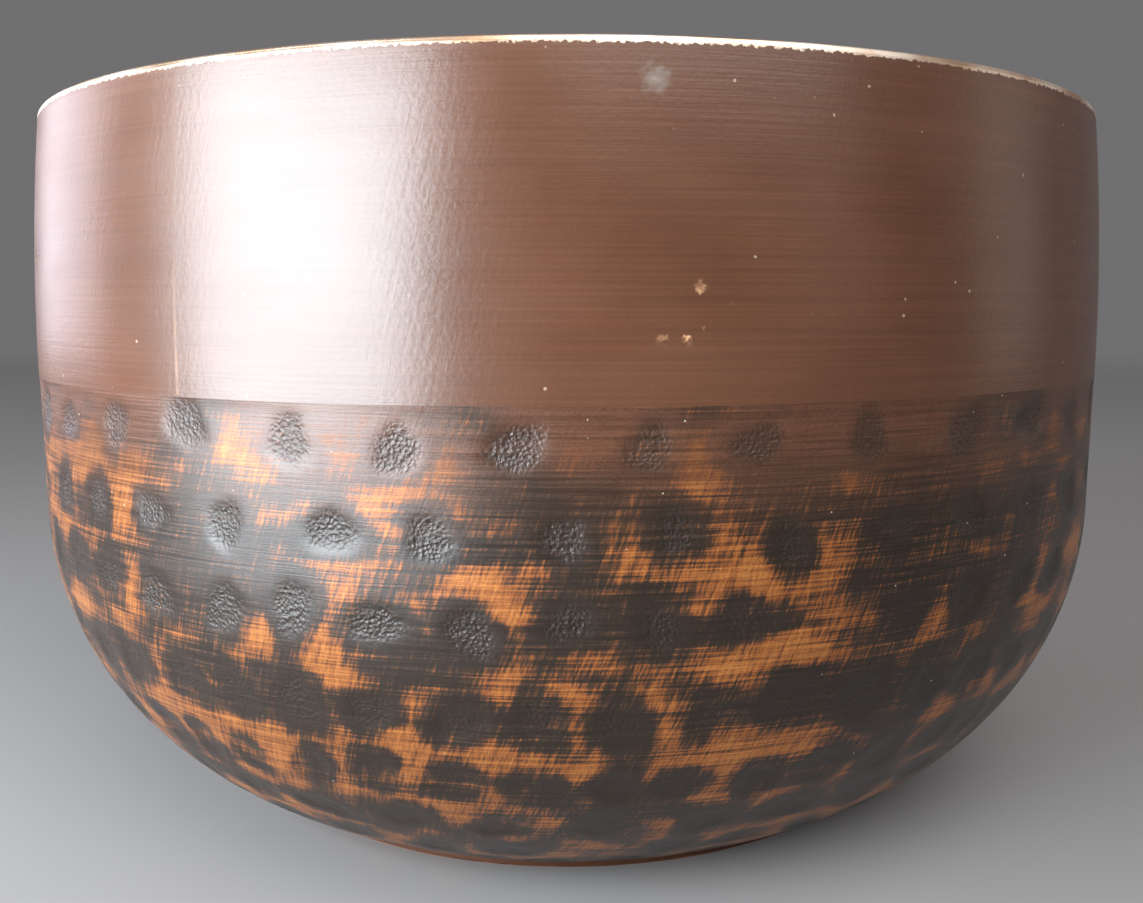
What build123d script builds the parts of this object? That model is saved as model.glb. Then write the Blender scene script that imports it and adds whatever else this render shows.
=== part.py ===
"""A small hammered copper bowl, brazed up from a turned wall, a raised bowl, a lip and a foot.

The frame has +Z up, with the origin on the bowl's axis in the plane that the foot stands on.
The front is -Y and the left is -X. All sizes are in millimetres.

From the foot up, the outside is a short round heel, a straight hammered side and a smooth
wall that leans in a little towards the lip. Every section below is drawn from that outside:
a face that lies "depth" under it is the same outline, moved inward by that much.
"""
import os
from math import asin, cos, sin, sqrt

from build123d import *

os.makedirs("parts", exist_ok=True)

# Outside shape
total_height = 91.0  # from the foot's underside to the top of the lip
waist_radius = 75.0  # the straight hammered side and the foot of the smooth wall
lean = 1.8  # how far the smooth wall leans in by the top of the lip
smooth_wall_height = 32.5  # from the line where the hammering starts to the top of the lip
heel_radius = 44.2  # the turn from the side to the base
base_radius = 49.0  # where that turn meets the flat base
base_edge_round = 0.8  # softened corner between the heel and the base

# Sheet and joints
sheet = 1.6  # copper of the wall and the bowl
braze_gap = 0.2  # film of braze in every joint
waist_lap = 5.0  # height over which the wall and the bowl overlap, each at half thickness
seam_width = 0.4  # upright joint where the ends of the rolled wall meet
seam_bearing = 239.0  # degrees from +X, to the left of the front

# Lip
lip_cap_height = 0.9  # the part of the lip above the wall
lip_skirt_height = 3.0  # the part of the lip that laps down inside the wall
lip_skirt_thickness = 0.8
lip_edge_round = 0.35

# Foot
foot_height = 1.2  # from the underside of the bowl to the surface it stands on
foot_width = 4.0
foot_inset = 0.6  # from the edge of the flat base to the outside of the foot
foot_edge_round = 0.25

# Tin
tin_thickness = 0.3  # wiped on by hand over the whole inside

# Heights and centres worked out from these
waist_height = total_height - smooth_wall_height
wall_top = total_height - lip_cap_height - braze_gap
skirt_bottom = wall_top - lip_skirt_height
wall_arc_radius = (smooth_wall_height**2 + lean**2) / (2 * lean)
heel_centre_radius = waist_radius - heel_radius
heel_drop = sqrt(heel_radius**2 - (base_radius - heel_centre_radius) ** 2)
heel_centre_height = foot_height + heel_drop
foot_outer_radius = base_radius - foot_inset
lip_depth = sheet + braze_gap + lip_skirt_thickness
half_sheet = sheet / 2


def wall_point(depth, height):
    """A point of the leaning wall, "depth" under its outside."""
    rise = height - waist_height
    reach = sqrt((wall_arc_radius - depth) ** 2 - rise**2)
    return (waist_radius - wall_arc_radius + reach, height)


def wall_face(depth, low, high):
    """The line of a wall face from one height to another."""
    middle = (low + high) / 2
    ThreePointArc(wall_point(depth, low), wall_point(depth, middle), wall_point(depth, high))


def wall_leaf(outer_depth, inner_depth, low, high):
    """The outline of a leaf of the wall between two depths and two heights."""
    wall_face(outer_depth, low, high)
    Line(wall_point(outer_depth, high), wall_point(inner_depth, high))
    wall_face(inner_depth, low, high)
    Line(wall_point(inner_depth, low), wall_point(outer_depth, low))


def base_height(depth):
    """The height of the flat base, "depth" inside its underside."""
    return foot_height + depth


def heel_point(depth, share):
    """A point of the heel's turn, from its top (share 0) to the flat base (share 1)."""
    turn = share * asin((heel_centre_height - base_height(depth)) / (heel_radius - depth))
    radius = heel_centre_radius + (heel_radius - depth) * cos(turn)
    return (radius, heel_centre_height - (heel_radius - depth) * sin(turn))


def bowl_face(depth, top):
    """The line of a bowl face, from the axis out along the base and up the side."""
    Line((0, base_height(depth)), heel_point(depth, 1))
    ThreePointArc(heel_point(depth, 1), heel_point(depth, 0.5), heel_point(depth, 0))
    Line(heel_point(depth, 0), (waist_radius - depth, top))


def bowl_skin(outer_depth, inner_depth, top):
    """The outline of a bowl-shaped skin between two depths, up to one height."""
    bowl_face(outer_depth, top)
    Line((waist_radius - outer_depth, top), (waist_radius - inner_depth, top))
    bowl_face(inner_depth, top)
    Line((0, base_height(inner_depth)), (0, base_height(outer_depth)))


def seam_strip():
    """The plan of the upright seam: a narrow strip from the axis out past the wall."""
    Rectangle(2 * waist_radius, seam_width, align=(Align.MIN, Align.CENTER))


seam_plane = Plane.XY.rotated((0, 0, seam_bearing)).offset(waist_height)

# Smooth wall: a strip rolled to a ring, thinned to its outer half where it laps over the bowl
with BuildPart() as smooth_wall:
    with BuildSketch(Plane.XZ):
        with BuildLine():
            wall_leaf(0, sheet, waist_height + waist_lap, wall_top)
        make_face()
        with BuildLine():
            wall_leaf(0, half_sheet - braze_gap / 2, waist_height + braze_gap, wall_top)
        make_face()
    revolve(axis=Axis.Z)
    with BuildSketch(seam_plane):
        seam_strip()
    extrude(amount=smooth_wall_height, mode=Mode.SUBTRACT)
smooth_wall.part.label = "smooth_wall"

# Seam braze: fills the gap between the ends of the rolled strip
with BuildPart() as wall_seam_braze:
    with BuildSketch(Plane.XZ):
        with BuildLine():
            wall_leaf(0, sheet, waist_height + waist_lap, wall_top)
        make_face()
        with BuildLine():
            wall_leaf(0, half_sheet - braze_gap / 2, waist_height + braze_gap, wall_top)
        make_face()
    revolve(axis=Axis.Z)
    with BuildSketch(seam_plane):
        seam_strip()
    extrude(amount=smooth_wall_height, mode=Mode.INTERSECT)
wall_seam_braze.part.label = "wall_seam_braze"

# Hammered bowl: raised from one sheet, with a thinned upper edge that stands inside the wall
with BuildPart() as hammered_bowl:
    with BuildSketch(Plane.XZ):
        with BuildLine():
            bowl_skin(0, sheet, waist_height)
        make_face()
        tongue_top = waist_height + waist_lap - braze_gap
        with BuildLine():
            wall_leaf(half_sheet + braze_gap / 2, sheet, waist_height, tongue_top)
        make_face()
    revolve(axis=Axis.Z)
    base_edge = hammered_bowl.edges().filter_by(GeomType.CIRCLE).group_by(Axis.Z)[0]
    fillet(base_edge, radius=base_edge_round)
hammered_bowl.part.label = "hammered_bowl"

# Waist braze: the stepped film that fills the lap between the wall and the bowl
with BuildPart() as waist_braze:
    with BuildSketch(Plane.XZ):
        film_outside = half_sheet - braze_gap / 2
        film_inside = half_sheet + braze_gap / 2
        lap_top = waist_height + waist_lap
        with BuildLine():
            wall_leaf(0, film_inside, waist_height, waist_height + braze_gap)
        make_face()
        with BuildLine():
            wall_leaf(film_outside, film_inside, waist_height, lap_top)
        make_face()
        with BuildLine():
            wall_leaf(film_outside, sheet, lap_top - braze_gap, lap_top)
        make_face()
    revolve(axis=Axis.Z)
waist_braze.part.label = "waist_braze"

# Lip ring: an angle-section ring that caps the wall and laps down inside it
with BuildPart() as lip_ring:
    with BuildSketch(Plane.XZ):
        with BuildLine():
            wall_leaf(0, lip_depth, wall_top + braze_gap, total_height)
        make_face()
        with BuildLine():
            wall_leaf(sheet + braze_gap, lip_depth, skirt_bottom, total_height)
        make_face()
    revolve(axis=Axis.Z)
    top_edges = lip_ring.edges().filter_by(GeomType.CIRCLE).group_by(Axis.Z)[-1]
    fillet(top_edges, radius=lip_edge_round)
lip_ring.part.label = "lip_ring"

# Lip braze: the film between the lip and the wall
with BuildPart() as lip_braze:
    with BuildSketch(Plane.XZ):
        with BuildLine():
            wall_leaf(0, sheet + braze_gap, wall_top, wall_top + braze_gap)
        make_face()
        with BuildLine():
            wall_leaf(sheet, sheet + braze_gap, skirt_bottom, wall_top + braze_gap)
        make_face()
    revolve(axis=Axis.Z)
lip_braze.part.label = "lip_braze"

# Foot ring: a low flat ring that keeps the base off the table
with BuildPart() as foot_ring:
    with BuildSketch():
        Circle(foot_outer_radius)
        Circle(foot_outer_radius - foot_width, mode=Mode.SUBTRACT)
    extrude(amount=foot_height - braze_gap)
    standing_edges = foot_ring.edges().filter_by(GeomType.CIRCLE).group_by(Axis.Z)[0]
    fillet(standing_edges, radius=foot_edge_round)
foot_ring.part.label = "foot_ring"

# Foot braze: the film between the foot and the base
with BuildPart() as foot_braze:
    with BuildSketch(Plane.XY.offset(foot_height - braze_gap)):
        Circle(foot_outer_radius)
        Circle(foot_outer_radius - foot_width, mode=Mode.SUBTRACT)
    extrude(amount=braze_gap)
foot_braze.part.label = "foot_braze"

# Tin lining: one thin skin over the bowl and the wall, up to the lip's skirt
with BuildPart() as tin_lining:
    with BuildSketch(Plane.XZ):
        with BuildLine():
            bowl_skin(sheet, sheet + tin_thickness, waist_height)
        make_face()
        with BuildLine():
            wall_leaf(sheet, sheet + tin_thickness, waist_height, skirt_bottom)
        make_face()
    revolve(axis=Axis.Z)
tin_lining.part.label = "tin_lining"

for piece in (smooth_wall, wall_seam_braze, hammered_bowl, waist_braze, lip_ring,
              lip_braze, foot_ring, foot_braze, tin_lining):
    export_step(piece.part, f"parts/{piece.part.label}.step")
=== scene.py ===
"""A hammered copper bowl: turned brown wall, bright lip, hammered and rubbed bowl, tinned inside.

Every skin is lathed from the outline that the CAD parts have. The hammered bowl's skin is then
struck with its marks, and the tin inside shows them faintly.
Lengths are in metres, the front is -Y, and a bearing is an angle from the front to the right.
"""
from math import asin, cos, pi, radians, sin, sqrt

import bpy
import numpy as np
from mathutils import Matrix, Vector, noise


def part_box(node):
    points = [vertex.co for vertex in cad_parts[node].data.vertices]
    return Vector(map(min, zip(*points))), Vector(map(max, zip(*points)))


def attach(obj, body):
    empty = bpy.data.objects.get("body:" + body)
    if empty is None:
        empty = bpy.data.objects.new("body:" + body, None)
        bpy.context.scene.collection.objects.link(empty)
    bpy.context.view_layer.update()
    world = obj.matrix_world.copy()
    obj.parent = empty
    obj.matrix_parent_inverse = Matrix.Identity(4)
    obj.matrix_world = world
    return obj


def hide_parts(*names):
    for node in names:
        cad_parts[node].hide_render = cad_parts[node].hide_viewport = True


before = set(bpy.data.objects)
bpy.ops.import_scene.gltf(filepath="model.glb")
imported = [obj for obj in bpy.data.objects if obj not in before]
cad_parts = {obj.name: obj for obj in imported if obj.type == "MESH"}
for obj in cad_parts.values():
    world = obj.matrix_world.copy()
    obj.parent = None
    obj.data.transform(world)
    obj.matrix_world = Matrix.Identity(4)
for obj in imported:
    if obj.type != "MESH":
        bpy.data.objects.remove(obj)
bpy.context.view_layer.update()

MM = 0.001

# The outline, from the frame
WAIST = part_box("waist_braze")[0].z  # where the smooth wall ends and the hammering starts
WALL_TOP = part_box("smooth_wall")[1].z
SKIRT_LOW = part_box("lip_ring")[0].z
LIP_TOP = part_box("lip_ring")[1].z
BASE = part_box("hammered_bowl")[0].z  # the flat underside of the bowl
TONGUE_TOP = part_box("hammered_bowl")[1].z
LAP_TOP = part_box("waist_braze")[1].z
SIDE_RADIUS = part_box("hammered_bowl")[1].x
FOOT_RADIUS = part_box("foot_ring")[1].x
FOOT_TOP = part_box("foot_ring")[1].z

# The rest of it, as the CAD has it
SHEET = 1.6 * MM
FILM = 0.2 * MM  # braze in every joint
TIN = 0.3 * MM
LIP_DEPTH = 2.6 * MM  # from the outside of the wall to the inside of the lip
LIP_ROUND = 0.35 * MM
LEAN = 1.8 * MM  # how far the wall leans in by the top of the lip
HEEL_RADIUS = 44.2 * MM
BASE_RADIUS = 49.0 * MM
FOOT_WIDTH = 4.0 * MM
FOOT_ROUND = 0.25 * MM
SEAM_BEARING = radians(-31)
SEAM_WIDTH = 0.4 * MM

# Worked out from those. The two lengths run down the outside of the bowl from the waist
WALL_ARC = ((LIP_TOP - WAIST) ** 2 + LEAN**2) / (2 * LEAN)
HEEL_CENTRE = SIDE_RADIUS - HEEL_RADIUS
HEEL_TOP = BASE + sqrt(HEEL_RADIUS**2 - (BASE_RADIUS - HEEL_CENTRE) ** 2)
SIDE_LENGTH = WAIST - HEEL_TOP
SKIN_LENGTH = SIDE_LENGTH + HEEL_RADIUS * asin((HEEL_TOP - BASE) / HEEL_RADIUS)
INNER_LENGTH = SKIN_LENGTH - 0.2 * MM  # where the heels of the inner faces meet the base

# How many bearings a piece is turned through
MARKED_TURN = 720  # fine enough for the hammer marks
LIP_TURN = 640
WALL_TURN = 560
PLAIN_TURN = 512

SHARP_EDGE = radians(40)  # corners sharper than this aren't shaded round

# Hammer marks, row by row: how far down the skin, how many go round, the bearing of one of them
# in degrees, and the mark's width and height
MARK_ROWS = (
    (3.6, 40, -3.6, 5.6, 4.8),
    (12.0, 42, -0.3, 4.8, 4.2),
    (20.8, 52, -0.2, 5.2, 4.6),
    (30.5, 55, -1.9, 5.6, 5.2),
    (39.7, 56, -3.4, 4.8, 4.4),
    (47.2, 40, -6.0, 5.6, 4.4),
    (55.0, 42, 2.0, 5.0, 4.2),
    (62.0, 38, -2.0, 4.8, 4.0),
)

# How unevenly the blows fell
BEARING_SPREAD = 0.008  # in radians
DOWN_SPREAD = 0.55 * MM
MARK_SIZES = (0.90, 1.28)  # times the row's width and height
MARK_TILT = (22, 22)  # the mean and the spread, in degrees
DENTS = (0.12, 0.24)  # the shallowest and the deepest, in millimetres
BLOWS_MISSED = 0.05  # as a share of all

# Where the rubbing cut through to bare copper, or left the patina alone (below 0): the bearing
# in degrees, how far down the skin, the width, the height, and by how much
RUBBED_SPOTS = (
    (-39, 9, 12, 16, 0.45), (-11, 6, 6, 8, 0.25), (-7, 6, 6, 4, 0.30), (8, 6, 8, 9, 0.30),
    (-6, 17, 8, 7, 0.50), (-17, 16, 14, 5, 0.35), (10, 16, 18, 6, 0.45), (20, 18, 8, 7, 0.25),
    (-18, 27, 10, 6, 0.25), (-3, 28, 11, 8, 0.55), (12, 25, 18, 6, 0.45), (-13, 34, 18, 5, 0.55),
    (17, 35, 20, 5, 0.40), (-40, 29, 10, 14, 0.45), (-27, 37, 12, 8, 0.40), (-7, 42, 14, 5, 0.35),
    (36, 29, 10, 8, 0.20), (-41, 38, 12, 8, 0.40),
    (0, 11, 34, 7, -0.40), (32, 15, 26, 22, -0.45), (-30, 19, 12, 22, -0.35), (2, 21, 12, 8, -0.40),
    (4, 42, 16, 6, -0.35), (28, 32, 18, 8, -0.35), (-10, 22, 8, 8, -0.25), (0, 5, 26, 6, -0.20),
)


# ---------------------------------------------------------------- outlines
# An outline's points are (radius, height, down), where down is the way along the skin from the
# waist to the point, below zero on the wall. Outlines run down the outside and up the inside.

def wall_line(depth, start, end, count=1):
    """Points along a face of the leaning wall, "depth" under its outside."""
    heights = [start + (end - start) * i / count for i in range(count + 1)]
    centre = SIDE_RADIUS - WALL_ARC
    return [(centre + sqrt((WALL_ARC - depth) ** 2 - (h - WAIST) ** 2), h, WAIST - h)
            for h in heights]


def bowl_point(depth, down):
    """A point of the bowl's straight side or its heel, "depth" under its outside."""
    if down <= SIDE_LENGTH:
        return (SIDE_RADIUS - depth, WAIST - down, down)
    turn = (down - SIDE_LENGTH) / HEEL_RADIUS
    reach = HEEL_RADIUS - depth
    return (HEEL_CENTRE + reach * cos(turn), HEEL_TOP - reach * sin(turn), down)


def bowl_line(depth, start, end, count):
    """Points along a face of the bowl between two places on its skin."""
    return [bowl_point(depth, start + (end - start) * i / count) for i in range(count + 1)]


def base_line(height, start, end, count):
    """Points across the flat base between two radii."""
    radii = [start + (end - start) * i / count for i in range(count + 1)]
    return [(r, height, SKIN_LENGTH + BASE_RADIUS - r) for r in radii]


def rounded(centre_radius, centre_height, size, start, end, count=6):
    """Points round a corner between two angles in degrees, from the outward radius."""
    angles = [radians(start + (end - start) * i / count) for i in range(count + 1)]
    points = [(centre_radius + size * cos(a), centre_height + size * sin(a)) for a in angles]
    return [(r, h, WAIST - h) for r, h in points]


# ---------------------------------------------------------------- meshes

def full_turn(columns):
    """Bearings all the way round, each once."""
    return np.arange(columns) * 2 * pi / columns


def lathe(name, outline, bearings, material, node, move=None, marks=None, full=True):
    """Turns a closed outline into a solid that stands for a CAD node.

    The move shifts each point along the skin's outward normal. The marks are values to keep on
    the points, for the material. A turn that isn't full gets flat ends.
    The place for the patterns is kept on the points too, as "skin". It wraps the wall, the side
    and the heel round a cylinder of the side's radius, by their way along the skin. On the base
    it has the point's own radius, so that level patterns go in rings.
    """
    points = np.array(outline, float)
    columns = len(bearings)
    along = np.roll(points[:, :2], -1, 0) - np.roll(points[:, :2], 1, 0)
    along /= np.maximum(np.linalg.norm(along, axis=1)[:, None], 1e-12)
    moved = np.zeros((len(points), columns)) if move is None else move
    radius = points[:, :1] - along[:, 1:] * moved
    height = points[:, 1:2] + along[:, :1] * moved
    place = np.stack([radius * np.sin(bearings), -radius * np.cos(bearings), height], 2)
    laid = np.where(points[:, 2:] > SKIN_LENGTH, points[:, :1], SIDE_RADIUS)
    down = points[:, 2:] + 0 * radius
    skin = np.stack([laid * np.sin(bearings), -laid * np.cos(bearings), down], 2)

    on_axis = points[:, 0] < 1e-9  # there, every bearing shares one point
    used = np.ones(radius.shape, bool)
    used[on_axis, 1:] = False
    index = np.zeros(radius.shape, int)
    index[used] = np.arange(used.sum())
    index[on_axis] = index[on_axis, :1]
    faces = []
    for i in range(len(points)):
        upper, lower = index[i], index[(i + 1) % len(points)]
        for j in range(columns if full else columns - 1):
            k = (j + 1) % columns
            ring = dict.fromkeys((int(upper[j]), int(lower[j]), int(lower[k]), int(upper[k])))
            if len(ring) > 2:
                faces.append(list(ring))
    if not full:
        faces.append([int(v) for v in index[::-1, 0]])
        faces.append([int(v) for v in index[:, -1]])

    mesh = bpy.data.meshes.new(name)
    mesh.from_pydata(place[used].tolist(), [], faces)
    mesh.attributes.new("skin", "FLOAT_VECTOR", "POINT").data.foreach_set("vector", skin[used].ravel())
    for label, values in (marks or {}).items():
        kept = mesh.attributes.new(label, "FLOAT", "POINT").data
        kept.foreach_set("value", np.ascontiguousarray(values[used], np.float32))
    mesh.shade_smooth()
    mesh.set_sharp_from_angle(angle=SHARP_EDGE)
    mesh.materials.append(material)
    piece = bpy.data.objects.new(name, mesh)
    bpy.context.scene.collection.objects.link(piece)
    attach(piece, "root")
    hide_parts(node)


def smooth_step(low, high, value):
    """0 at low, 1 at high, easing between."""
    t = np.clip((value - low) / (high - low), 0, 1)
    return t * t * (3 - 2 * t)


def strike(outline, bearings):
    """The hammer marks over a skin.

    Gives how deep each point is struck, how far it lies inside a mark, and how near it lies to
    one, from 1 at a mark's middle to 0 well outside it.
    """
    rng = np.random.default_rng(7)
    radius, down = (np.array(outline, float)[:, k] for k in (0, 2))
    depth, inside, near = (np.zeros((len(down), len(bearings))) for _ in range(3))
    for row_down, count, first, width, height in MARK_ROWS:
        for n in range(count):
            bearing = radians(first + n * 360 / count) + rng.normal(0, BEARING_SPREAD)
            middle = row_down * MM + rng.normal(0, DOWN_SPREAD)
            wide = width * MM / 2 * rng.uniform(*MARK_SIZES)
            high = height * MM / 2 * rng.uniform(*MARK_SIZES)
            tilt = radians(rng.normal(*MARK_TILT))
            dent = rng.uniform(*DENTS) * MM
            wobble = rng.uniform(0, 2 * pi, 3)
            if rng.random() < BLOWS_MISSED:
                continue
            reach = 3.2 * max(wide, high)  # beyond it the mark changes nothing
            rows = np.where(abs(down - middle) < reach)[0]
            if not len(rows):
                continue
            turn = (bearings - bearing + pi) % (2 * pi) - pi
            cols = np.where(abs(turn) * radius[rows].min() < reach)[0]
            across = turn[cols][None, :] * radius[rows][:, None]
            up = np.repeat((middle - down[rows])[:, None], len(cols), 1)
            x = (across * cos(tilt) + up * sin(tilt)) / wide
            y = (up * cos(tilt) - across * sin(tilt)) / high
            way = np.arctan2(y, x)
            edge = (1 + 0.10 * np.sin(2 * way + wobble[0]) + 0.08 * np.sin(3 * way + wobble[1])
                    + 0.05 * np.sin(5 * way + wobble[2]))
            out = np.hypot(x, y) / edge
            spot = np.ix_(rows, cols)
            within = 1 - smooth_step(0.55, 1.08, out)
            depth[spot] = np.maximum(depth[spot], dent * within)
            inside[spot] = np.maximum(inside[spot], within)
            near[spot] = np.maximum(near[spot], np.clip(1 - out / 2.6, 0, 1))
    return depth, inside, near


def lumps(outline, bearings, across, tall, seed):
    """Smooth noise over the unrolled skin, about -0.5 to 0.5, its lumps "across" by "tall"."""
    grid = np.zeros((len(outline), len(bearings)))
    for i, (_, _, down) in enumerate(outline):
        for j, bearing in enumerate(bearings):
            spot = (SIDE_RADIUS * sin(bearing) / across, SIDE_RADIUS * cos(bearing) / across, down / tall)
            grid[i, j] = noise.noise(Vector(spot) + Vector((seed, seed, seed)))
    return grid


def rubbed_bare(outline, bearings, near_mark):
    """How far the abrasive cut through the patina: 0 is untouched and 1 is bare."""
    radius, down = (np.array(outline, float)[:, k, None] for k in (0, 2))
    bare = (0.50 + 0.10 * smooth_step(24 * MM, 34 * MM, down)  # the belly is rubbed hardest
            + 0.52 * lumps(outline, bearings, 15 * MM, 6 * MM, 5)
            + 0.45 * lumps(outline, bearings, 5 * MM, 3 * MM, 9))
    for bearing, spot_down, wide, tall, amount in RUBBED_SPOTS:
        turn = (bearings - radians(bearing) + pi) % (2 * pi) - pi
        away = (turn * radius / (wide * MM / 2)) ** 2 + ((down - spot_down * MM) / (tall * MM / 2)) ** 2
        bare += 0.75 * amount * np.exp(-away)
    # The marks lie low and the waist is hard to reach, so both keep their patina
    bare -= 0.45 * smooth_step(0.32, 0.6, near_mark) + 0.12 * smooth_step(6 * MM, 0, down)
    return np.clip(bare, 0.24, 0.78) - 0.15 * smooth_step(0.5, 0.7, near_mark)


# ---------------------------------------------------------------- materials
# Most sockets go by number. Math and VectorMath: values 0, 1 and 2. Mix: share 0, colours 6 and 7,
# colour out 2. MapRange: value 0, from the range 1 to 2, to the range 3 to 4, which is 0 to 1
# where it isn't given.

def linear(hex_colour):
    """An sRGB hex colour as linear red, green, blue and alpha."""
    parts = [int(hex_colour[i:i + 2], 16) / 255 for i in (1, 3, 5)]
    return [p / 12.92 if p <= 0.04045 else ((p + 0.055) / 1.055) ** 2.4 for p in parts] + [1.0]


def put(tree, kind, inputs, out=0, stops=(), **settings):
    """Adds a shader node with its settings, values and links, and gives one of its outputs."""
    node = tree.nodes.new("ShaderNode" + kind)
    for name, value in settings.items():
        setattr(node, name, value)
    for socket, value in inputs.items():
        if isinstance(value, bpy.types.NodeSocket):
            tree.links.new(value, node.inputs[socket])
        else:
            node.inputs[socket].default_value = value
    for i, (place, colour) in enumerate(stops):
        stop = node.color_ramp.elements[i] if i < 2 else node.color_ramp.elements.new(place)
        stop.position = place
        stop.color = linear(colour)
    return node.outputs[out] if len(node.outputs) else None


def blank(name):
    """An empty material, named for its finish, and its node tree."""
    made = bpy.data.materials.new(name)
    made.use_nodes = True
    made.node_tree.nodes.clear()
    return made, made.node_tree


def way_down(tree):
    """How far down the skin a point lies from the waist, below 0 on the wall."""
    skin = put(tree, "Attribute", {}, out="Vector", attribute_name="skin")
    return put(tree, "SeparateXYZ", {0: skin}, out=2)


def worked(tree, around, down, detail=2.0, lean=0.0, shift=0.0):
    """Noise on the unrolled skin, its grain "around" by "down" millimetres.

    With a lean, strokes that run up the skin lean to the right by that slope.
    """
    skin = put(tree, "Attribute", {}, out="Vector", attribute_name="skin")
    if lean:
        turn = put(tree, "Math", {0: way_down(tree), 1: lean / SIDE_RADIUS}, operation="MULTIPLY")
        skin = put(tree, "VectorRotate", {"Vector": skin, "Angle": turn}, rotation_type="Z_AXIS")
    size = (1 / (around * MM), 1 / (around * MM), 1 / (down * MM))
    place = put(tree, "VectorMath", {0: skin, 1: size, 2: (shift, shift, shift)},
                operation="MULTIPLY_ADD")
    return put(tree, "TexNoise", {"Vector": place, "Scale": 1.0, "Detail": detail})


def patch(tree, bearing, height, size, ragged=0.35):
    """A patch on the wall, 1 inside it and 0 outside.

    The bearing is in degrees, the height and the size in millimetres, and "ragged" is how far its
    edge strays, as a share of the size.
    """
    skin = put(tree, "Attribute", {}, out="Vector", attribute_name="skin")
    spot = (SIDE_RADIUS * sin(radians(bearing)), -SIDE_RADIUS * cos(radians(bearing)),
            WAIST - height * MM)
    away = put(tree, "VectorMath", {0: skin, 1: spot}, out="Value", operation="DISTANCE")
    bent = put(tree, "Math", {0: worked(tree, 0.9, 0.9, detail=4.0), 1: ragged * 2 * size * MM, 2: away},
               operation="MULTIPLY_ADD")
    return put(tree, "MapRange", {0: bent, 1: (1 + ragged) * size * MM, 2: 0.6 * size * MM},
               interpolation_type="SMOOTHSTEP")


def specks(tree, spacing, size, share):
    """Small ragged specks in a share of the cells of a loose grid, in millimetres."""
    skin = put(tree, "Attribute", {}, out="Vector", attribute_name="skin")
    cell = 1 / (spacing * MM)
    place = put(tree, "VectorMath", {0: skin, 1: (cell, cell, cell)}, operation="MULTIPLY")
    away = put(tree, "TexVoronoi", {"Vector": place, "Scale": 1.0}, out="Distance")
    drawn = put(tree, "SeparateXYZ", {0: away.node.outputs["Color"]})
    drawn = put(tree, "Math", {0: drawn, 1: 1 - share}, operation="GREATER_THAN")
    ragged = put(tree, "Math", {0: worked(tree, 0.4, 0.4), 1: size / spacing, 2: away},
                 operation="MULTIPLY_ADD")
    spot = put(tree, "MapRange", {0: ragged, 1: 1.1 * size / spacing, 2: 0.8 * size / spacing},
               interpolation_type="SMOOTHSTEP")
    return put(tree, "Math", {0: spot, 1: drawn}, operation="MULTIPLY")


def toned(tree, colour, tone):
    """The colour made darker or lighter by a tone, 1 leaving it as it is."""
    grey = put(tree, "CombineColor", {0: tone, 1: tone, 2: tone})
    return put(tree, "Mix", {0: 1.0, 6: colour, 7: grey}, out=2, data_type="RGBA", blend_type="MULTIPLY")


def laid_over(tree, colour, cover, amount, hex_colour):
    """The colour with another over it where the cover is 1, as strongly as the amount."""
    share = put(tree, "Math", {0: cover, 1: amount}, operation="MULTIPLY")
    return put(tree, "Mix", {0: share, 6: colour, 7: linear(hex_colour)}, out=2, data_type="RGBA")


def brown_patina(tree):
    """The browned copper's colour: clouded, with fine turning lines.

    The lathe's real feed is finer than a tenth of a millimetre. Here the lines lie 0.34 mm apart,
    coarse enough to show.
    """
    clouds = put(tree, "ValToRGB", {0: worked(tree, 18, 12, detail=5.0)}, stops=(
        (0.30, "#47291a"), (0.50, "#4c2e1e"), (0.70, "#513223")))
    lines = worked(tree, 40, 0.34, detail=3.0)
    return toned(tree, clouds, put(tree, "MapRange", {0: lines, 1: 0.3, 2: 0.7, 3: 0.87, 4: 1.10}))


def turned_brown_copper():
    """Copper turned smooth, browned with a patina and waxed.

    The eye gets a satin chocolate brown under a white waxy sheen, hair-fine level lines, pale
    dust specks, and a few chips where the patina is off. The patina hides the metal's own gloss.
    """
    made, tree = blank("turned_brown_copper")
    dust = specks(tree, 1.9, 0.33, 0.16)
    chips = specks(tree, 2.2, 1.3, 0.75)
    chipped = patch(tree, 8.6, 66.0, 4.2, ragged=0.6)
    bloom = patch(tree, 6.0, 87.2, 1.7, ragged=0.7)
    colour = laid_over(tree, brown_patina(tree), dust, 0.45, "#b09a86")
    colour = laid_over(tree, colour, chips, chipped, "#c0926c")
    colour = laid_over(tree, colour, bloom, 0.4, "#7f7e77")
    lines = worked(tree, 16, 0.26, detail=4.0)  # as coarse as the colour's, to show
    scratches = worked(tree, 0.45, 5, lean=0.25, shift=3.0)
    peel = worked(tree, 0.55, 0.55, detail=4.0, shift=7.0)
    bump = put(tree, "Bump", {"Height": lines, "Distance": 0.013 * MM})
    bump = put(tree, "Bump", {"Height": scratches, "Distance": 0.008 * MM, "Normal": bump})
    bump = put(tree, "Bump", {"Height": peel, "Distance": 0.016 * MM, "Normal": bump})
    waxed = worked(tree, 22, 6, detail=4.0, shift=5.0)
    rough = put(tree, "MapRange", {0: waxed, 1: 0.3, 2: 0.7, 3: 0.27, 4: 0.32})
    shader = put(tree, "BsdfPrincipled", {"Base Color": colour, "Metallic": 0.0, "Roughness": rough,
                                          "Normal": bump})
    put(tree, "OutputMaterial", {"Surface": shader})
    return made


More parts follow.
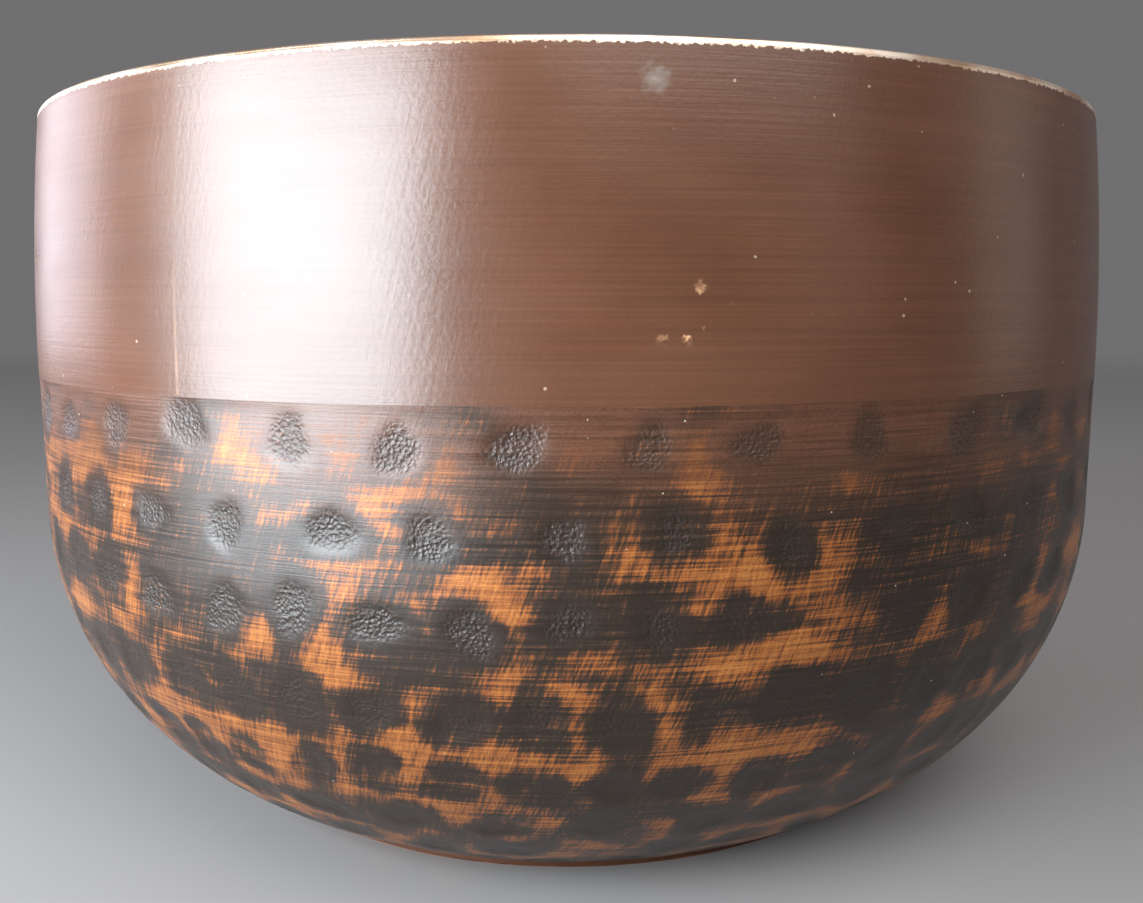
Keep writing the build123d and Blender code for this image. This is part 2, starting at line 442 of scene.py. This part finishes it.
def hammered_rubbed_copper():
    """Hammered copper, patinated near black over brown and rubbed back with abrasive.

    The eye gets dark marks with a gritty floor, dark streaks round them, and bare orange copper
    on the high ground, frayed at its edges by level and leaning strokes. The abrasive's real
    strokes are under a tenth of a millimetre apart. Here they lie 0.2 to 0.3 mm apart, to show.
    """
    made, tree = blank("hammered_rubbed_copper")
    skin = put(tree, "Attribute", {}, out="Vector", attribute_name="skin")
    bare = put(tree, "Attribute", {}, out="Fac", attribute_name="bare")
    inside = put(tree, "Attribute", {}, out="Fac", attribute_name="in_mark")
    level = worked(tree, 10, 0.22, detail=4.0)
    strokes = worked(tree, 0.32, 4, lean=0.40, detail=3.0)
    upright = worked(tree, 0.24, 2.5, lean=0.10, detail=2.0, shift=3.0)
    bands = worked(tree, 17, 1.1, detail=2.0, shift=6.0)

    frayed = bare
    for marks_left, weight in ((level, 0.90), (strokes, 0.95), (upright, 0.50), (bands, 0.40)):
        frayed = put(tree, "Math", {0: marks_left, 1: weight, 2: frayed}, operation="MULTIPLY_ADD")
    on_average = 1.385  # about what the four add, taken off again
    frayed = put(tree, "Math", {0: frayed, 1: on_average}, operation="SUBTRACT")
    rubbed = put(tree, "ValToRGB", {0: frayed}, stops=(
        (0.24, "#1f140c"), (0.40, "#332012"), (0.50, "#4a2a15"), (0.57, "#643719"), (0.68, "#7b4620"),
        (0.92, "#955c2d")))

    # The wall's brown runs down over the waist in clouds, less so inside the marks
    browned = put(tree, "MapRange", {0: way_down(tree), 1: 0.5 * MM, 2: 14 * MM, 3: 1.0, 4: 0.0},
                  interpolation_type="SMOOTHSTEP")
    cloud = put(tree, "MapRange", {0: worked(tree, 14, 7, detail=3.0, shift=2.0), 1: 0.25, 2: 0.5})
    browned = put(tree, "Math", {0: browned, 1: cloud}, operation="MULTIPLY")
    unstruck = put(tree, "MapRange", {0: inside, 3: 1.0, 4: 0.4})
    browned = put(tree, "Math", {0: browned, 1: unstruck}, operation="MULTIPLY")
    colour = put(tree, "Mix", {0: browned, 6: rubbed, 7: brown_patina(tree)}, out=2, data_type="RGBA")
    grain = worked(tree, 0.25, 0.16, detail=4.0, shift=8.0)
    tone = put(tree, "Math", {0: level, 1: grain}, operation="ADD")
    tone = put(tree, "MapRange", {0: tone, 1: 0.75, 2: 1.25, 3: 0.66, 4: 1.22})
    colour = toned(tree, colour, tone)
    colour = laid_over(tree, colour, specks(tree, 1.8, 0.2, 0.2), 0.5, "#c8b8a6")

    cell = 1 / (0.45 * MM)
    facets = put(tree, "VectorMath", {0: skin, 1: (cell, cell, cell)}, operation="MULTIPLY")
    facets = put(tree, "TexVoronoi", {"Vector": facets, "Scale": 1.0}, out="Distance")
    grit = put(tree, "Math", {0: worked(tree, 0.33, 0.33, detail=5.0, shift=4.0), 1: 1.3, 2: facets},
               operation="MULTIPLY_ADD")
    middle = 1.1  # taken off, so that the grit makes no step where a mark ends
    grit = put(tree, "Math", {0: grit, 1: middle}, operation="SUBTRACT")
    grit = put(tree, "Math", {0: grit, 1: inside}, operation="MULTIPLY")
    bump = put(tree, "Bump", {"Height": grit, "Distance": 0.085 * MM})
    bump = put(tree, "Bump", {"Height": level, "Distance": 0.018 * MM, "Normal": bump})
    bump = put(tree, "Bump", {"Height": strokes, "Distance": 0.012 * MM, "Normal": bump})
    bump = put(tree, "Bump", {"Height": grain, "Distance": 0.010 * MM, "Normal": bump})
    # Scratched copper is dull, so even where it is bare it is far from a mirror
    metal = put(tree, "MapRange", {0: frayed, 1: 0.5, 2: 0.75, 3: 0.1, 4: 0.35})
    rough = put(tree, "MapRange", {0: level, 1: 0.3, 2: 0.7, 3: 0.30, 4: 0.42})
    shader = put(tree, "BsdfPrincipled", {"Base Color": colour, "Metallic": metal, "Roughness": rough,
                                          "Normal": bump})
    put(tree, "OutputMaterial", {"Surface": shader})
    return made


def ground_bright_copper():
    """Copper ground level on a flat stone and worn bright by handling.

    The eye gets a thin pale pink-gold line round the top, a little nicked, with the wall's brown
    left ragged along its lower edge. Only the outside has the brown.
    """
    made, tree = blank("ground_bright_copper")
    nicks = worked(tree, 0.5, 0.5, detail=3.0)
    edge = put(tree, "Math", {0: nicks, 1: 0.9 * MM, 2: way_down(tree)}, operation="MULTIPLY_ADD")
    low = WAIST - WALL_TOP
    left = put(tree, "MapRange", {0: edge, 1: low - 0.05 * MM, 2: low + 0.10 * MM})
    outside = put(tree, "Attribute", {}, out="Fac", attribute_name="outside")
    left = put(tree, "Math", {0: left, 1: outside}, operation="MULTIPLY")
    metal = put(tree, "MapRange", {0: left, 3: 0.95, 4: 0.0})
    tones = worked(tree, 9, 3, detail=3.0)
    bright = put(tree, "ValToRGB", {0: tones}, stops=((0.35, "#c9a383"), (0.65, "#e6d3c2")))
    colour = put(tree, "Mix", {0: left, 6: bright, 7: brown_patina(tree)}, out=2, data_type="RGBA")
    bump = put(tree, "Bump", {"Height": nicks, "Strength": 0.5, "Distance": 0.02 * MM})
    rough = put(tree, "MapRange", {0: tones, 1: 0.3, 2: 0.7, 3: 0.30, 4: 0.44})
    shader = put(tree, "BsdfPrincipled", {"Base Color": colour, "Metallic": metal, "Roughness": rough,
                                          "Normal": bump})
    put(tree, "OutputMaterial", {"Surface": shader})
    return made


def hand_wiped_tin():
    """Tin melted on and wiped over the inside by hand.

    The eye gets a soft grey with a blurred shine, level wipe marks and small darker spots.
    """
    made, tree = blank("hand_wiped_tin")
    wipes = worked(tree, 26, 1.6, detail=4.0)
    clouds = worked(tree, 12, 10, detail=4.0, shift=6.0)
    colour = put(tree, "ValToRGB", {0: clouds}, stops=(
        (0.28, "#8c8880"), (0.5, "#a9a69e"), (0.75, "#bdbab2")))
    tone = put(tree, "MapRange", {0: wipes, 1: 0.3, 2: 0.7, 3: 0.86, 4: 1.08})
    colour = laid_over(tree, toned(tree, colour, tone), specks(tree, 4.0, 0.35, 0.25), 0.5, "#5d5850")
    bump = put(tree, "Bump", {"Height": wipes, "Strength": 0.5, "Distance": 0.05 * MM})
    rough = put(tree, "MapRange", {0: clouds, 1: 0.3, 2: 0.7, 3: 0.34, 4: 0.5})
    shader = put(tree, "BsdfPrincipled", {"Base Color": colour, "Metallic": 0.9, "Roughness": rough,
                                          "Normal": bump})
    put(tree, "OutputMaterial", {"Surface": shader})
    return made


def filed_braze():
    """Silver braze filed flush and browned over.

    The eye gets a thin upright line in the wall, as satin as the wall and paler only near the
    waist, where the brown didn't take.
    """
    made, tree = blank("filed_braze")
    stain = worked(tree, 5, 2, detail=3.0)
    paler = put(tree, "MapRange", {0: way_down(tree), 1: -16 * MM, 2: -2 * MM, 3: 0.0, 4: 0.8})
    colour = laid_over(tree, brown_patina(tree), paler, stain, "#7d5f48")
    rough = put(tree, "MapRange", {0: stain, 1: 0.3, 2: 0.7, 3: 0.28, 4: 0.36})
    shader = put(tree, "BsdfPrincipled", {"Base Color": colour, "Metallic": 0.0, "Roughness": rough})
    put(tree, "OutputMaterial", {"Surface": shader})
    return made


def worn_foot_copper():
    """Browned copper, worn where it stands.

    The eye gets a dull brown rim under the bowl, with bare scuffed copper on its standing face.
    """
    made, tree = blank("worn_foot_copper")
    scuffs = worked(tree, 3, 3, detail=4.0)
    edge = put(tree, "Math", {0: scuffs, 1: 0.3 * MM, 2: way_down(tree)}, operation="MULTIPLY_ADD")
    bare = put(tree, "MapRange", {0: edge, 1: WAIST - 0.05 * MM, 2: WAIST + 0.1 * MM})
    colour = put(tree, "Mix", {0: bare, 6: brown_patina(tree), 7: linear("#9a5f3a")}, out=2,
                 data_type="RGBA")
    bump = put(tree, "Bump", {"Height": scuffs, "Strength": 0.4, "Distance": 0.04 * MM})
    shader = put(tree, "BsdfPrincipled", {"Base Color": colour, "Metallic": 0.5, "Roughness": 0.45,
                                          "Normal": bump})
    put(tree, "OutputMaterial", {"Surface": shader})
    return made


# ---------------------------------------------------------------- the bowl's pieces

def wall_section():
    """The smooth wall's section, thinned to its outer half below the top of the lap."""
    half = SHEET / 2
    return (wall_line(0, WALL_TOP, WAIST + FILM, 44)
            + wall_line(half - FILM / 2, WAIST + FILM, LAP_TOP)
            + wall_line(SHEET, LAP_TOP, WALL_TOP, 8))


def build_smooth_wall(brown):
    """The wall: a strip rolled to a ring, whose ends leave a gap for the seam."""
    half_gap = SEAM_WIDTH / 2 / SIDE_RADIUS
    bearings = np.linspace(SEAM_BEARING + half_gap, SEAM_BEARING + 2 * pi - half_gap, WALL_TURN)
    lathe("smooth_wall_turned", wall_section(), bearings, brown, "smooth_wall",
          full=False)


def build_seam(braze):
    """The braze that fills the gap between the strip's ends."""
    half_gap = SEAM_WIDTH / 2 / SIDE_RADIUS
    bearings = np.linspace(SEAM_BEARING - half_gap, SEAM_BEARING + half_gap, 4)
    lathe("wall_seam_filled", wall_section(), bearings, braze, "wall_seam_braze",
          full=False)


def build_hammered_bowl(copper):
    """The raised bowl, struck all over its outside, with a thin upper edge inside the wall."""
    bearings = full_turn(MARKED_TURN)
    outside = bowl_line(0, 0, SKIN_LENGTH, 106) + base_line(BASE, BASE_RADIUS, 0, 8)[1:]
    inside = (base_line(BASE + SHEET, 0, BASE_RADIUS - SHEET / 2, 2)
              + bowl_line(SHEET, INNER_LENGTH, 0, 14)[1:]
              + wall_line(SHEET, WAIST, TONGUE_TOP)[1:]
              + wall_line(SHEET / 2 + FILM / 2, TONGUE_TOP, WAIST))
    depth, in_mark, near_mark = strike(outside, bearings)
    bare = rubbed_bare(outside, bearings, near_mark)
    grit = lumps(outside, bearings, 1.3 * MM, 1.3 * MM, 3)
    swell = lumps(outside, bearings, 9 * MM, 9 * MM, 11)
    down = np.array(outside)[:, 2:]
    # The skin stays put where it meets the waist and the base, and on the heel the grit is worn
    edges = smooth_step(0, 1 * MM, down) * smooth_step(SKIN_LENGTH, SKIN_LENGTH - 3 * MM, down)
    in_mark *= 1 - 0.7 * smooth_step(26 * MM, 36 * MM, down)
    move = -(depth + 0.05 * MM * grit * in_mark + 0.06 * MM * (1 + swell)) * edges
    spare = np.zeros((len(inside), len(bearings)))
    lathe("hammered_bowl_raised", outside + inside, bearings, copper,
          "hammered_bowl", move=np.vstack([move, spare]),
          marks={"in_mark": np.vstack([in_mark, spare]), "bare": np.vstack([bare, spare])})


def build_waist_braze(brown):
    """The stepped film in the lap. What shows of it is browned with the wall."""
    outer_film, inner_film = SHEET / 2 - FILM / 2, SHEET / 2 + FILM / 2
    section = (wall_line(0, WAIST + FILM, WAIST) + wall_line(inner_film, WAIST, LAP_TOP - FILM)
               + wall_line(SHEET, LAP_TOP - FILM, LAP_TOP)
               + wall_line(outer_film, LAP_TOP, WAIST + FILM))
    lathe("waist_braze_film", section, full_turn(PLAIN_TURN), brown, "waist_braze")


def build_lip(bright):
    """The lip: an angle-section ring with softened top edges."""
    cap_low = WALL_TOP + FILM
    outer = wall_line(0, LIP_TOP, LIP_TOP)[0][0] - LIP_ROUND
    inner = wall_line(LIP_DEPTH, LIP_TOP, LIP_TOP)[0][0] + LIP_ROUND
    top = LIP_TOP - LIP_ROUND
    face_top = top - 0.05 * MM
    outside = rounded(outer, top, LIP_ROUND, 90, 0) + wall_line(0, face_top, cap_low, 3)
    inside = (wall_line(SHEET + FILM, cap_low, SKIRT_LOW, 3)
              + wall_line(LIP_DEPTH, SKIRT_LOW, face_top, 6)
              + rounded(inner, top, LIP_ROUND, 180, 90))
    bearings = full_turn(LIP_TURN)
    shown = np.repeat([1.0, 0.0], (len(outside), len(inside)))[:, None] + 0 * bearings
    lathe("lip_ring_ground", outside + inside, bearings, bright, "lip_ring",
          marks={"outside": shown})


def build_lip_braze(braze):
    """The film between the lip and the wall's top and inside."""
    cap_low = WALL_TOP + FILM
    section = (wall_line(0, cap_low, WALL_TOP) + wall_line(SHEET, WALL_TOP, SKIRT_LOW)
               + wall_line(SHEET + FILM, SKIRT_LOW, cap_low))
    lathe("lip_braze_film", section, full_turn(PLAIN_TURN), braze, "lip_braze")


def build_foot(worn):
    """The foot: a low flat ring, its standing edges softened."""
    inner = FOOT_RADIUS - FOOT_WIDTH
    section = ([(FOOT_RADIUS, FOOT_TOP, WAIST - FOOT_TOP)]
               + rounded(FOOT_RADIUS - FOOT_ROUND, FOOT_ROUND, FOOT_ROUND, 0, -90)
               + rounded(inner + FOOT_ROUND, FOOT_ROUND, FOOT_ROUND, -90, -180)
               + [(inner, FOOT_TOP, WAIST - FOOT_TOP)])
    lathe("foot_ring_worn", section, full_turn(PLAIN_TURN), worn, "foot_ring")


def build_foot_braze(braze):
    """The film between the foot and the base."""
    inner = FOOT_RADIUS - FOOT_WIDTH
    section = [(r, h, WAIST - h) for r, h in (
        (FOOT_RADIUS, BASE), (FOOT_RADIUS, FOOT_TOP), (inner, FOOT_TOP), (inner, BASE))]
    lathe("foot_braze_film", section, full_turn(PLAIN_TURN), braze, "foot_braze")


def build_lining(tin):
    """The tin: a thin skin over the whole inside, through which the blows show faintly."""
    bearings = full_turn(PLAIN_TURN)
    deep = SHEET + TIN
    floor = BASE_RADIUS - deep / 2
    against = (wall_line(SHEET, SKIRT_LOW, WAIST, 4) + bowl_line(SHEET, 0, INNER_LENGTH, 20)[1:]
               + base_line(BASE + SHEET, floor, 0, 3)[1:])
    shown = (base_line(BASE + deep, 0, floor, 16) + bowl_line(deep, INNER_LENGTH, 0, 90)[1:]
             + wall_line(deep, WAIST, SKIRT_LOW, 24)[1:])
    depth, _, _ = strike(shown, bearings)
    swell = lumps(shown, bearings, 10 * MM, 10 * MM, 5)
    down = np.array(shown)[:, 2:]
    edges = smooth_step(0, 4 * MM, down) * smooth_step(SKIN_LENGTH + 8 * MM, SKIN_LENGTH - 6 * MM, down)
    shows_through = 0.3  # of each blow's depth
    move = (shows_through * depth + 0.05 * MM * swell) * edges
    lathe("tin_lining_wiped", against + shown, bearings, tin, "tin_lining",
          move=np.vstack([np.zeros((len(against), len(bearings))), move]))


def build_bowl():
    """Every piece, outside first. Those of one finish share its material."""
    brown = turned_brown_copper()
    braze = filed_braze()
    build_smooth_wall(brown)
    build_seam(braze)
    build_hammered_bowl(hammered_rubbed_copper())
    build_waist_braze(brown)
    build_lip(ground_bright_copper())
    build_lip_braze(braze)
    build_foot(worn_foot_copper())
    build_foot_braze(braze)
    build_lining(hand_wiped_tin())


# ---------------------------------------------------------------- the stage

def soft_light(name, bearing, rise, away, wide, high, power, colour="#ffffff"):
    """A soft box that faces the bowl's middle, at a bearing and a rise in degrees."""
    lamp = bpy.data.lights.new(name, "AREA")
    lamp.shape = "RECTANGLE"
    lamp.size, lamp.size_y = wide, high
    lamp.energy = power
    lamp.spread = radians(150)  # softens the line where a near box's light ends on the floor
    lamp.color = linear(colour)[:3]
    stand = bpy.data.objects.new(name, lamp)
    flat = away * cos(radians(rise))
    middle = Vector((0, 0, 55 * MM))
    stand.location = middle + Vector((flat * sin(radians(bearing)), -flat * cos(radians(bearing)),
                                      away * sin(radians(rise))))
    stand.rotation_euler = (stand.location - middle).to_track_quat("Z", "Y").to_euler()
    stand.visible_camera = False
    bpy.context.scene.collection.objects.link(stand)


def light_the_stage():
    """Each light's bearing, rise, distance, width, height and power, in a dim pale room."""
    soft_light("near_box_left", -46.5, 9, 0.30, 0.238, 0.22, 2.75, colour="#eaf4fc")
    soft_light("strip_behind_left", -116, 11, 1.1, 0.6, 0.5, 2.5, colour="#eef0ff")
    soft_light("fill_right", 50, 14, 1.3, 0.35, 0.6, 0.17)
    soft_light("strip_right", 92, 12, 1.1, 0.35, 0.6, 0.40, colour="#fff2e8")
    soft_light("soft_box_front", 26, 50, 1.3, 1.2, 1.2, 15)
    world = bpy.data.worlds.new("pale_room")
    world.use_nodes = True
    back = world.node_tree.nodes["Background"]
    back.inputs["Color"].default_value = linear("#b6b4b6")
    back.inputs["Strength"].default_value = 0.35
    bpy.context.scene.world = world


def lay_the_floor():
    """A plain pale floor that fades into the room's tone far from the bowl."""
    reach, fade_start, fade_end = 6.0, 0.30, 1.5
    made, tree = blank("pale_floor")
    away = put(tree, "VectorMath", {0: put(tree, "TexCoord", {}, out="Object")}, out="Value",
               operation="LENGTH")
    faded = put(tree, "MapRange", {0: away, 1: fade_start, 2: fade_end},
                interpolation_type="SMOOTHSTEP")
    ground = put(tree, "BsdfPrincipled", {"Base Color": linear("#807e7d"), "Roughness": 0.6})
    clear = put(tree, "BsdfTransparent", {})
    shader = put(tree, "MixShader", {0: faded, 1: ground, 2: clear})
    put(tree, "OutputMaterial", {"Surface": shader})
    mesh = bpy.data.meshes.new("floor")
    mesh.from_pydata([(-reach, -reach, 0), (reach, -reach, 0), (reach, reach, 0), (-reach, reach, 0)],
                     [], [(0, 1, 2, 3)])
    mesh.materials.append(made)
    floor = bpy.data.objects.new("floor", mesh)
    bpy.context.scene.collection.objects.link(floor)


def set_the_camera():
    """Close to the bowl, a little under its lip, looking slightly down."""
    away = 172 * MM  # from the bowl's axis
    under_lip = 23.1 * MM
    dip, turn = 7.87, -0.2  # in degrees
    eye = bpy.data.cameras.new("camera")
    eye.sensor_width = 36.0
    eye.lens = 34.3
    eye.clip_start = 0.005
    stand = bpy.data.objects.new("camera", eye)
    stand.location = (0, -away, LIP_TOP - under_lip)
    stand.rotation_euler = (radians(90 - dip), 0, radians(turn))
    bpy.context.scene.collection.objects.link(stand)
    bpy.context.scene.camera = stand


bpy.context.scene.view_settings.view_transform = "Standard"
build_bowl()
light_the_stage()
lay_the_floor()
set_the_camera()
